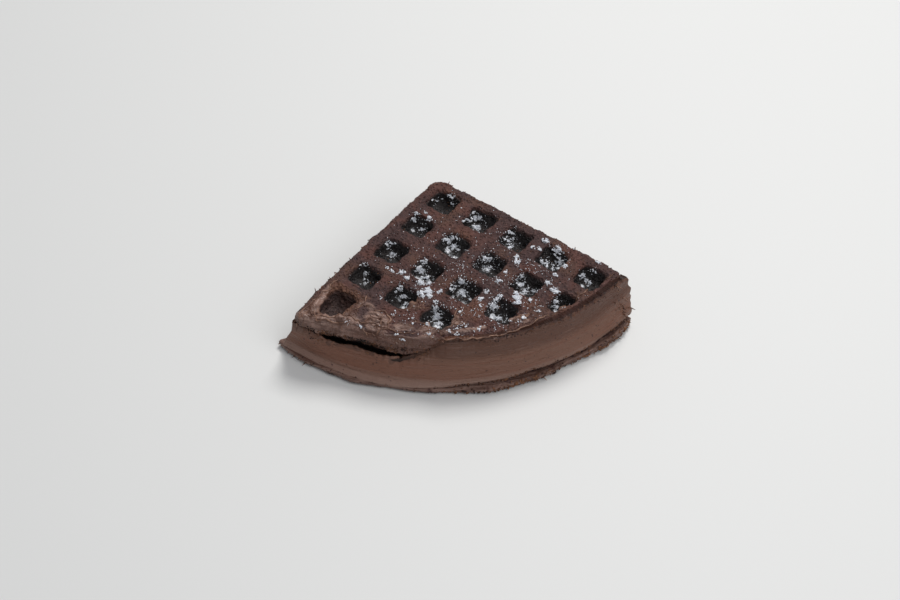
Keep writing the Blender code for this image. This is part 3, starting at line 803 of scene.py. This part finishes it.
def makeLip():
    # the thin baked edge: its uneven outline thickened, with the ear at the left
    bm = bmesh.new()
    outline = [(0.004, 0.004)] + list(ear)
    for step in range(lower["lipSteps"] + 1):
        angle = radians(lower["lipFrom"] + lower["lipSweep"] * step / lower["lipSteps"])
        reach = lipRadius(angle) + lower["ragged"] * ripple(angle * 60, 3, 0) * ease(angle, 0.2, 1)
        outline.append((reach * cos(angle), reach * sin(angle)))
    outline.append((0.0016, 0.082))
    bm.faces.new([bm.verts.new((x, y, lower["lipLow"])) for x, y in outline])
    thicken(bm, wedge["lipTop"] - lower["lipLow"])
    return newObject("lip", meshFrom(bm, "lip"))


def makeLowerWaffle():
    item = quarterSlab("lowerWaffle", wedge["radius"], 0, wedge["lowerTop"], lower["edge"])
    lip = makeLip()
    applyBoolean(item, "UNION", lip)
    bpy.data.objects.remove(lip)
    pressed(item, (5, 5, 4, 3, 2), 0, True, lower["voxel"])
    mesh = item.data
    normals = [vertex.normal.copy() for vertex in mesh.vertices]
    pocket, torn, smear, flow = [], [], [], []
    for vertex, normal in zip(mesh.vertices, normals):
        p = vertex.co.copy()
        radius = hypot(p.x, p.y)
        angle = atan2(p.y, p.x)
        free = ease(p.z, 0.0001, 0.0008) * ease(wedge["lowerTop"] - p.z, 0, 0.0010)
        lift = lower["coarse"] * wobble(p, 190, 6) + lower["fine"] * wobble(p, 900, 7)
        p += normal * lift * free
        if radius > lower["raisedFrom"] and angle > lower["raisedAngle"]:
            rim = ease(radius, lower["raisedFrom"], lower["raisedTo"]) * ease(p.z, 0.0015, 0.0026)
            rim *= 0.0010 * ease(angle, lower["raisedAngle"], radians(60))
            p.z += rim * (0.8 + wobble(p, 420, 8))
        inside = radius < upper["inside"] and min(p.x, p.y) > upper["fromSides"]
        # darker deeper in the underside's pockets: darker crust and painted shade
        pocket.append(ease(p.z, 0.0009, 0.0026) if inside and p.z < 0.008 else 0)
        degrees = toDegrees(angle)
        torn.append(0.35 * ease(radius, 0.0905, 0.0930) * (0.4 + wobble(p, 300, 9)))
        covered = ease(radius, 0.0880, 0.0900) * fade(degrees, 22, 40)
        edging = 0.62 * ease(radius, 0.089, 0.091) + 0.55 * wobble(p, 260, 10)
        smear.append(max(covered, edging) * ease(p.z, 0.0004, 0.0012))
        flow.extend((angle * wedge["arc"], radius - p.z, 0))
        vertex.co = p
    count = len(pocket)
    setFloats(mesh, pocket=pocket, torn=torn, smear=smear, dust=[0] * count, side=[0.3] * count)
    setFlow(mesh, flow)
    seatAll(item)
    dress(item, waffleMaterial("lowerCrust"), ("waffle_bottom",))
    return item


# the cream wiped round the curved side
coat = {
    "inside": 0.0854, "topRadius": 0.0872, "footRadius": 0.0915, "foot": 0.00305, "high": 0.0221,
    "stepFrom": 27, "stepTo": 40, "rows": 46, "steps": 420, "sweep": 0.0046, "sweepAngle": 7,
}


# millimetres by degrees: the cream's edge under the bulging left part of the upper waffle,
# and how far up the dark gap reaches
creamEdge = (
    (0, 17.4), (3, 16.6), (6, 15.2), (9, 13.9), (12, 13.1), (15, 13.9), (20, 13.5), (23, 13.1),
    (26, 12.7), (30, 13.6),
)


def creviceHeight(degrees):
    height = fromTable(creamEdge, degrees)
    height += 0.40 * ripple(degrees * 0.9, 0, 4) + 0.2 * ripple(degrees * 3, 0, 5)
    return height * 0.001


def coatTop(angle):
    degrees = toDegrees(angle)
    rim = coat["high"] + 0.00035 * ripple(degrees * 0.35, 5, 0)
    rim += 0.00050 * ripple(degrees * 1.1, 6, 0) + 0.00030 * ripple(degrees * 3.7, 7, 0)
    rim -= 0.0022 * ease(degrees, 85, 91)
    share = ease(degrees, coat["stepFrom"], coat["stepTo"])
    torn = 0.0012 * ripple(degrees * 0.8, 2, 0) + 0.0005 * ripple(degrees * 3, 2, 0)
    return creviceHeight(degrees) * (1 - share) + rim * share + torn * 4 * share * (1 - share)


def coatRadius(height):
    drop = min(max((coat["high"] - height) / (coat["high"] - coat["foot"]), 0), 1)
    return coat["topRadius"] + (coat["footRadius"] - coat["topRadius"]) * drop ** 1.6


def coatFoot(angle):
    degrees = toDegrees(angle)
    uneven = 0.0004 * ripple(degrees * 0.25, 9, 0)
    lifted = 0.0009 * ease(degrees, 48, 62) - 0.0009 * fade(degrees, 26, 44)
    return coat["foot"] + max(uneven, -0.0001) + lifted


def makeCoat():
    bm = bmesh.new()
    rows = coat["rows"]
    outer = [(1, step / rows) for step in range(rows + 1)]
    inner = [(0.88, 1), (0, 1), (0, 0.66), (0, 0.33), (0, 0), (0.5, 0)]
    shares = outer + inner
    number = bm.verts.layers.int.new("row")
    ring = [bm.verts.new((coat["inside"] + out * 0.004, 0, coat["foot"] + up * 0.018)) for out, up in shares]
    section = bm.faces.new(ring)
    for index, vert in enumerate(ring):
        vert[number] = index
    everything = [section] + section.edges[:] + section.verts[:]
    bmesh.ops.spin(
        bm, geom=everything, cent=(0, 0, 0), axis=(0, 0, 1), dvec=(0, 0, 0), angle=pi / 2,
        steps=coat["steps"], use_duplicate=False,
    )
    bmesh.ops.recalc_face_normals(bm, faces=bm.faces)
    flow, rim, shade = [], [], []
    for vert in bm.verts:
        angle = atan2(vert.co.y, vert.co.x)
        degrees = toDegrees(angle)
        out, up = shares[vert[number]]
        top = coatTop(angle)
        foot = coatFoot(angle)
        height = foot + (top - foot) * up
        covered = ease(degrees, coat["stepFrom"], coat["stepTo"])
        radius = coatRadius(height)
        if out == 1:
            along = angle * wedge["arc"]
            rounding = ease(up, 0.93, 1)
            radius -= 0.0006 * rounding * rounding + 0.0004 * fade(up, 0, 0.05)
            spread = fade(degrees, 26, 44) * fade(up, 0, 0.22)
            radius += 0.0013 * spread
            partway = ease(degrees, 22, 30) * fade(degrees, 42, 50)
            radius -= 0.0023 * partway * ease(up, 0.62, 1)
            radius += 0.00045 * ripple(along * 60, height * 240, 1)
            radius += 0.00016 * ripple(along * 110, height * 1000, 2)
            radius += 0.00010 * ripple(along * 500, height * 1400, 3)
            radius += 0.00030 * bump(height, 0.0152 + 0.0012 * sin(along * 40), 0.0012) * covered
            radius += 0.00025 * bump(height, 0.0062, 0.0016) * ease(degrees, 55, 80)
            radius += 0.0006 * ease(degrees, 80, 88) * bump(height, 0.0130, 0.0060)
        else:
            inside = coat["inside"]
            if up == 1:
                inside = coat["inside"] - 0.0012 * covered + 0.0006 * (1 - covered)
                height -= 0.0013 * (1 - covered) * ease(degrees, 2, 7)
                height -= (0.0005 if out == 0 else 0.0001) * covered
            radius = inside + (radius - inside) * out
        sweep = fade(degrees, 0, coat["sweepAngle"]) * ease(0.0143 - height, 0, 0.0112)
        edgeShare = ease(degrees, 88, 90)
        ragged = 0.0010 * edgeShare * ripple(height * 500, out * 2, 7)
        ragged += 0.0006 * edgeShare * bump(height, 0.0120, 0.0055)
        vert.co = Vector((radius * cos(angle) - ragged, radius * sin(angle) - coat["sweep"] * sweep, height))
        flow.extend((angle * wedge["arc"], height, radius))
        merge = ease(degrees, 22, 28) * fade(degrees, 42, 52)
        lipShare = 0.7 * fade(height, coat["foot"] + 0.0002, coat["foot"] + 0.0013) * ease(degrees, 35, 50)
        ragged = 0.30 * ripple(angle * 40, height * 420, 6)
        torn = covered * (0.6 if out < 0.9 and up == 1 else 0.7 * ease(up + 0.25 * ragged, 0.95, 1))
        rim.append(max(lipShare, torn * (1 - merge)))
        # painted shade: the cream's inner top faces near black in the gap under the upper waffle, with a
        # ragged fringe on the outer top edge
        gapShade = (1 - covered) * fade(degrees, 26, 34) * ease(degrees, 4, 8)
        gapShadeFringe = 0.35 * gapShade * ease(up + ragged, 0.88, 0.98)
        shade.append(gapShade if out < 0.9 else gapShadeFringe)
    mesh = meshFrom(bm, "creamCoat")
    setFloats(mesh, rim=rim, shade=shade)
    setFlow(mesh, flow)
    item = newObject("creamCoat", mesh)
    seatAll(item)
    dress(item, creamMaterial(), ("chocolate_cream",))
    return item


layer = {"radius": 0.0848, "edge": 0.0011, "inset": 0.0004, "voxel": 0.0008, "uneven": 0.0007, "reach": 0.003}


def makeLayer():
    low, high = wedge["creamLow"], wedge["creamHigh"]
    item = quarterSlab("creamLayer", layer["radius"], low, high, layer["edge"], layer["inset"])
    addSkin(item, layer["voxel"])
    applied(item)
    flow, shade = [], []
    for vertex in item.data.vertices:
        p = vertex.co.copy()
        radius = hypot(p.x, p.y)
        out = 0
        for side, along in ((p.y, p.x), (p.x, p.y)):
            if side < layer["reach"]:
                out = layer["uneven"] * ripple(along * 160, p.z * 120, 3) * fade(side, 0, layer["reach"])
        if p.y < p.x:
            vertex.co.y -= out
        else:
            vertex.co.x -= out
        flow.extend((p.x - p.y, p.z, radius))
        shade.append(ease(radius, 0.0800, 0.0820) * fade(toDegrees(atan2(p.y, p.x)), 33, 37))
    setFloats(item.data, shade=shade)
    setFlow(item.data, flow)
    seatAll(item)
    dress(item, bpy.data.materials["milkChocolateCream"], ("chocolate_cream",))


def sugarSlant():
    lift = radians(view["elevation"])
    turn = radians(view["azimuth"])
    return Vector((-sin(turn) * cos(lift), cos(turn) * cos(lift), -sin(lift)))


def spun(draw, axes):
    angle = draw.uniform(0, 6.28)
    return Matrix.Rotation(angle, 4, draw.choice(axes) if len(axes) > 1 else axes)


def roughBall(bm, draw, low, high):
    verts = bmesh.ops.create_icosphere(bm, subdivisions=1, radius=1)["verts"]
    for vert in verts:
        vert.co *= draw.uniform(low, high)
    return verts


def pour(bm, whole):
    # small batches keep the bmesh operators quick
    mesh = meshFrom(bm, "batch")
    whole.from_mesh(mesh)
    bpy.data.meshes.remove(mesh)


def makeSugar(ground):
    # grains dropped on the waffle where they fall, joined into one mesh
    tree = surfaceTree((ground,))
    whole = bmesh.new()
    draw = random.Random(sugar["seed"])
    slant = sugarSlant()

    def drop(bm, x, y, size, heap):
        above = settled(Vector((x, y, wedge["upperTop"]))) - slant * 0.01
        spot, normal = tree.ray_cast(above, slant)[:2]
        if spot is None or spot.z < sugar["lowest"]:
            return
        turn = spun(draw, "XYZ") @ spun(draw, "Z")
        wide = size * draw.uniform(0.7, 1.5)
        stretch = Matrix.Diagonal((wide, size * draw.uniform(0.6, 1.1), size * 0.6, 1))
        verts = roughBall(bm, draw, 0.75, 1.25)
        place = Matrix.Translation(spot + normal * (size * 0.25) + Vector((0, 0, heap)))
        bmesh.ops.transform(bm, verts=verts, matrix=place @ turn @ stretch)

    for i, j, spread, grains in sugarPiles:
        x, y = lattice(i, j)
        bm = bmesh.new()
        clumps = 2 + grains // sugar["perClump"]
        lumps = [(draw.gauss(0, 0.4) * spread, draw.gauss(0, 0.4) * spread) for _ in range(clumps)]
        for _ in range(grains // sugar["perLump"]):
            lx, ly = draw.choice(lumps)
            lx = x + 0.001 * (lx + draw.gauss(0, sugar["lumpSway"]))
            ly = y + 0.001 * (ly + draw.gauss(0, sugar["lumpSway"]))
            drop(bm, lx, ly, draw.uniform(*sugar["lumpSize"]), sugar["lumpLift"] * draw.random())
        for _ in range(int(grains * sugar["fine"])):
            away = abs(draw.gauss(0, 0.8))
            around = draw.uniform(0, 2 * pi)
            reach = spread * 0.001 * away
            heap = sugar["heap"] * max(0, 1 - away) * draw.random()
            size = draw.uniform(*sugar["fineSize"]) * (1.3 if away < 0.6 else 0.9)
            gx = x + reach * cos(around)
            gy = y + reach * sin(around)
            if ripple(gx * 900, gy * 900, 3) >= 0.02 + 0.12 * away:
                drop(bm, gx, gy, size, heap)
        pour(bm, whole)
    mx, my = lattice(*sprinkle["middle"])
    wide = sprinkle["reach"] * wedge["pitch"]
    for _ in range(sprinkle["batches"]):
        bm = bmesh.new()
        for _ in range(sprinkle["batch"]):
            x = draw.gauss(mx, wide)
            y = draw.gauss(my, wide)
            drift = ripple(x * 190, y * 190, 2) + 0.5 * ripple(x * 700, y * 700, 4)
            if x > 0.001 and y > 0.001 and hypot(x, y) < 0.0838 and drift > draw.uniform(-0.25, 0.35):
                drop(bm, x, y, draw.uniform(*sprinkle["size"]), 0)
        pour(bm, whole)
    item = newObject("icingSugar", meshFrom(whole, "icingSugar"))
    dress(item, sugarMaterial(), ())


def tubes(name, paths):
    # paths of points with a radius each, made closed tubes with uneven sides
    curve = bpy.data.curves.new(name, "CURVE")
    curve.dimensions = "3D"
    curve.bevel_depth = 1
    curve.bevel_resolution = 1
    curve.use_fill_caps = True
    for path in paths:
        spline = curve.splines.new("POLY")
        spline.points.add(len(path) - 1)
        for point, (place, radius) in zip(spline.points, path):
            point.co = (place.x, place.y, place.z, 1)
            point.radius = radius
    item = newObject(name, curve)
    mesh = evaluatedMesh(item)
    bpy.data.objects.remove(item)
    bm = bmesh.new()
    bm.from_mesh(mesh)
    bmesh.ops.remove_doubles(bm, verts=bm.verts, dist=1e-6)
    bmesh.ops.recalc_face_normals(bm, faces=bm.faces)
    for vert in bm.verts:
        vert.co += vert.normal * 0.00010 * noise.noise(vert.co * 1500)
    return newObject(name, meshFrom(bm, name))


def surfaceTree(items):
    points, faces = [], []
    for item in items:
        start = len(points)
        points.extend(v.co for v in item.data.vertices)
        faces.extend([start + n for n in f.vertices] for f in item.data.polygons)
    return BVHTree.FromPolygons(points, faces)


def straightDown(tree, x, y):
    return tree.ray_cast(settled(Vector((x, y, 0.03))), Vector((0, 0, -1)))[:2]


# ridges of cream by their places in the lattice, with their radius in millimetres
ridges = (
    (((2.40, 3.52), (2.71, 3.33), (3.12, 2.98), (3.54, 2.45), (3.66, 2.17), (3.84, 1.69),
      (4.04, 1.25)), 0.34),
    (((3.98, 1.42), (4.09, 0.82), (4.20, 0.34), (4.30, -0.10), (4.38, -0.50)), 0.30),
    (((3.60, 1.98), (3.50, 1.70), (3.42, 1.98), (3.40, 2.30)), 0.30),
    (((-0.30, 4.42), (0.10, 4.36), (0.45, 4.18), (0.80, 4.20), (1.15, 4.02), (1.55, 3.92),
      (1.95, 3.66)), 0.30),
    (((-0.36, 4.30), (-0.05, 4.46), (0.35, 4.40), (0.62, 4.30)), 0.26),
    (((0.80, 3.72), (1.02, 3.60), (1.24, 3.72), (1.36, 3.98), (1.22, 4.20), (0.96, 4.30)), 0.42),
    (((0.92, 3.92), (1.08, 3.84), (1.18, 4.00), (1.06, 4.14)), 0.36),
    (((1.30, 2.76), (1.44, 3.00), (1.36, 3.26), (1.16, 3.40)), 0.22),
    (((2.20, 2.52), (2.40, 2.80), (2.42, 3.06), (2.28, 3.30)), 0.24),
    (((1.66, 3.38), (1.95, 3.40), (2.30, 3.30), (2.62, 3.10)), 0.22),
    (((3.34, 2.20), (3.44, 2.00), (3.42, 1.78)), 0.24),
    (((-0.44, 3.40), (-0.40, 3.80), (-0.46, 4.20), (-0.40, 4.60)), 0.26),
    (((0.36, 3.40), (0.48, 3.70), (0.46, 4.05), (0.34, 4.30)), 0.22),
)


curls = {
    "seed": 33, "count": 160, "spread": 0.5, "radius": (0.00007, 0.00017), "step": 0.00032, "limit": 0.0868,
}


def makeWisps(ground):
    tree = surfaceTree(ground)
    draw = random.Random(curls["seed"])

    def laid(x, y, lift):
        spot = straightDown(tree, x, y)[0]
        return None if spot is None or spot.z < 0.013 else spot + Vector((0, 0, lift))

    paths = []
    for places, radius in ridges:
        corners = [Vector(lattice(i, j)) for i, j in places]
        path = []
        for first, second in zip(corners, corners[1:]):
            steps = max(3, int((second - first).length / 0.0005))
            for step in range(steps):
                spot = first.lerp(second, step / steps)
                sway = Vector((ripple(spot.x * 420, spot.y * 420, 1), ripple(spot.x * 420, spot.y * 420, 9)))
                spot = spot + sway * 0.0011
                thick = radius * 0.001 * (0.75 + 0.9 * abs(ripple(spot.x * 900, spot.y * 900, 5)))
                place = laid(spot.x, spot.y, thick * 0.35)
                if place:
                    path.append((place, thick))
        if len(path) > 4:
            count = len(path)
            paths.append([(place, thick * min(1, 0.25 + 5 * min(n, count - 1 - n) / count))
                          for n, (place, thick) in enumerate(path)])
    for _ in range(curls["count"]):
        i, j, along = draw.choice(smears[:7])[:3]
        cx, cy = lattice(i, j)
        x = cx + draw.gauss(0, curls["spread"]) * 0.001 * along
        y = cy + draw.gauss(0, curls["spread"]) * 0.001 * along
        heading = atan2(y, x) + pi / 2 + draw.gauss(0, 0.5)
        curl = draw.gauss(0, 0.10)
        radius = draw.uniform(*curls["radius"])
        path = []
        for step in range(draw.randint(5, 13)):
            place = laid(x, y, radius * 0.5)
            if place is None or hypot(x, y) > curls["limit"]:
                break
            path.append((place, radius * draw.uniform(0.6, 1.2)))
            x += curls["step"] * cos(heading)
            y += curls["step"] * sin(heading)
            heading += curl + draw.gauss(0, 0.22)
        if len(path) > 3:
            path[0] = (path[0][0], path[0][1] * 0.3)
            path[-1] = (path[-1][0], path[-1][1] * 0.3)
            paths.append(path)
    item = tubes("creamWisps", paths)
    dress(item, wispMaterial(), ())


# number, degrees round the rim, height above the floor and size or longest thread: the ragged lip,
# the foot of the cream, the top edge and specks on the cream; then the threads' places
crumbBands = (
    (260, (40, 89.5), (0.0010, 0.0040), (0.00020, 0.00052)),
    (90, (3, 40), (0.0010, 0.0030), (0.00012, 0.00030)),
    (120, (50, 89.5), (0.0030, 0.0050), (0.00016, 0.00040)),
    (150, (4, 34), (0.0145, 0.0180), (0.00016, 0.00042)),
    (110, (2, 88), (0.0050, 0.0200), (0.00008, 0.00018)),
    (170, (36, 88), (0.0205, 0.0222), (0.00012, 0.00032)),
    (130, (5, 33), (0.0128, 0.0160), (0.00014, 0.00034)),
)
threadBands = (
    (40, (84, 90), (0.0040, 0.0215), 0.0013), (44, (46, 89), (0.0010, 0.0036), 0.0010),
    (15, (-6, 6), (0.0010, 0.0026), 0.0009), (24, (6, 34), (0.0150, 0.0205), 0.0007),
)
crumbs = {
    "seed": 47, "edgeCount": 420, "edgeHeight": (0.0150, 0.0222), "edgeSize": (0.00010, 0.00032),
    "threads": 0.20, "shortest": 0.0003, "longest": 0.0009, "topCount": 520, "topSize": (0.00010, 0.00026),
}


def makeCrumbs(ground):
    # crumbs and threads of crust along the edges, the lip and the cream
    tree = surfaceTree(ground)
    draw = random.Random(crumbs["seed"])
    whole = bmesh.new()
    threads = []

    def crumb(bm, spot, normal, size):
        verts = roughBall(bm, draw, 0.65, 1.3)
        turn = spun(draw, "Z") @ spun(draw, "X")
        wide = size * draw.uniform(0.8, 1.9)
        scale = Matrix.Diagonal((wide, size * draw.uniform(0.6, 1.1), size * 0.7, 1))
        place = Matrix.Translation(spot + normal * size * 0.3)
        bmesh.ops.transform(bm, verts=verts, matrix=place @ turn @ scale)

    def cast(outward, inward):
        start = settled(outward)
        return tree.ray_cast(start, (settled(inward) - start).normalized())[:2]

    def probe(ends, heights):
        angle = radians(draw.uniform(*ends))
        height = draw.uniform(*heights)
        outward = Vector((0.115 * cos(angle), 0.115 * sin(angle), height))
        return cast(outward, Vector((0.07 * cos(angle), 0.07 * sin(angle), height)))

    def strayTip(spot, normal, flat, lift, longest):
        stray = Vector((draw.gauss(0, flat), draw.gauss(0, flat), draw.gauss(lift, 0.5)))
        return spot + (normal + stray) * draw.uniform(crumbs["shortest"], longest)

    for count, ends, heights, sizes in crumbBands:
        bm = bmesh.new()
        for _ in range(count):
            spot, normal = probe(ends, heights)
            if spot is not None:
                crumb(bm, spot, normal, draw.uniform(*sizes))
        pour(bm, whole)
    # along the straight edges, with short threads
    bm = bmesh.new()
    for _ in range(crumbs["edgeCount"]):
        along = draw.uniform(0.004, 0.0840)
        side = draw.choice((0, 1))
        height = draw.uniform(*crumbs["edgeHeight"])
        ends = [Vector((x, along, height) if side else (along, x, height)) for x in (-0.02, 0.02)]
        spot, normal = cast(*ends)
        if spot is None:
            continue
        crumb(bm, spot, normal, draw.uniform(*crumbs["edgeSize"]))
        if draw.random() < crumbs["threads"]:
            tip = strayTip(spot, normal, 0.5, 0.2, crumbs["longest"])
            bend = spot.lerp(tip, 0.5) + Vector((0, 0, 0.0001))
            threads.append([(spot, 0.00022), (bend, 0.00015), (tip, 0.00006)])
    pour(bm, whole)
    # on the top
    bm = bmesh.new()
    for _ in range(crumbs["topCount"]):
        x = draw.uniform(0.002, 0.084)
        y = draw.uniform(0.002, 0.084)
        if hypot(x, y) > 0.0835:
            continue
        spot, normal = straightDown(tree, x, y)
        if spot is not None:
            crumb(bm, spot, normal, draw.uniform(*crumbs["topSize"]))
    pour(bm, whole)
    # threads at the right end of the cream, along the lip, at the ear and over the gap
    for count, ends, heights, longest in threadBands:
        for _ in range(count):
            spot, normal = probe(ends, heights)
            if spot is None:
                continue
            tip = strayTip(spot, normal, 0.6, 0, longest)
            root = spot - normal * 0.0002
            threads.append([(root, 0.00026), (spot.lerp(tip, 0.5), 0.00017), (tip, 0.00007)])
    item = newObject("looseCrumbs", meshFrom(whole, "looseCrumbs"))
    dress(item, crumbMaterial(), ())
    item = tubes("crustThreads", threads)
    dress(item, bpy.data.materials["creamWisps"], ())


makeCamera()
makeLights()
makeFloor()
print("camera, lights and floor")
upperWaffle = makeUpperWaffle()
lowerWaffle = makeLowerWaffle()
creamCoat = makeCoat()
makeLayer()
makeSugar(upperWaffle)
makeWisps((upperWaffle, creamCoat))
makeCrumbs((upperWaffle, creamCoat, lowerWaffle))
